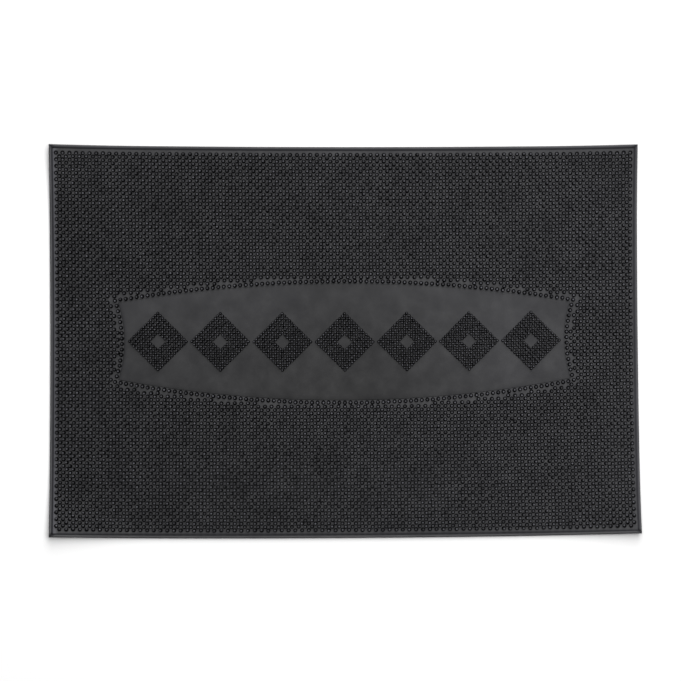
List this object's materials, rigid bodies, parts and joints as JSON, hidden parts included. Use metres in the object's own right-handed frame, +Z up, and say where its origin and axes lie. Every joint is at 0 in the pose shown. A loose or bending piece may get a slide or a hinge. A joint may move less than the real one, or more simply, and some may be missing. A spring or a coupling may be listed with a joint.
{
  "type": "door mat",
  "caption": "Rectangular moulded black rubber scraper mat: tapered studs, a raised rim and a smooth barrel-shaped panel with stud lozenges.",
  "frame": {"origin": "on the floor under the middle of the mat", "axes": "+X along the long side, +Y from the front edge to the rear edge, +Z up, out of the studs"},
  "size_m": [0.6, 0.4, 0.007],
  "materials": {
    "sheet_rubber": "satin, smooth moulded face",
    "rim_rubber": "satin, smooth moulded face",
    "field_stud_rubber": "matte moulded studs with worn lighter tips",
    "outline_stud_rubber": "matte moulded studs with worn lighter tips",
    "lozenge_stud_rubber": "matte moulded studs with worn lighter tips"
  },
  "bodies": {
    "root": {"base_sheet": "sheet_rubber", "smooth_panel": "sheet_rubber", "rim_front": "rim_rubber", "rim_rear": "rim_rubber", "rim_left": "rim_rubber", "rim_right": "rim_rubber", "outline_studs_front": "outline_stud_rubber", "outline_studs_rear": "outline_stud_rubber", "outline_studs_left": "outline_stud_rubber", "outline_studs_right": "outline_stud_rubber", "stud_field_front_left": "field_stud_rubber", "stud_field_front_middle": "field_stud_rubber", "stud_field_front_right": "field_stud_rubber", "stud_field_rear_left": "field_stud_rubber", "stud_field_rear_middle": "field_stud_rubber", "stud_field_rear_right": "field_stud_rubber", "stud_field_end_left": "field_stud_rubber", "stud_field_end_right": "field_stud_rubber", "lozenge_studs_1": "lozenge_stud_rubber", "lozenge_studs_2": "lozenge_stud_rubber", "lozenge_studs_3": "lozenge_stud_rubber", "lozenge_studs_4": "lozenge_stud_rubber", "lozenge_studs_5": "lozenge_stud_rubber", "lozenge_studs_6": "lozenge_stud_rubber", "lozenge_studs_7": "lozenge_stud_rubber"}
  },
  "joints": []
}
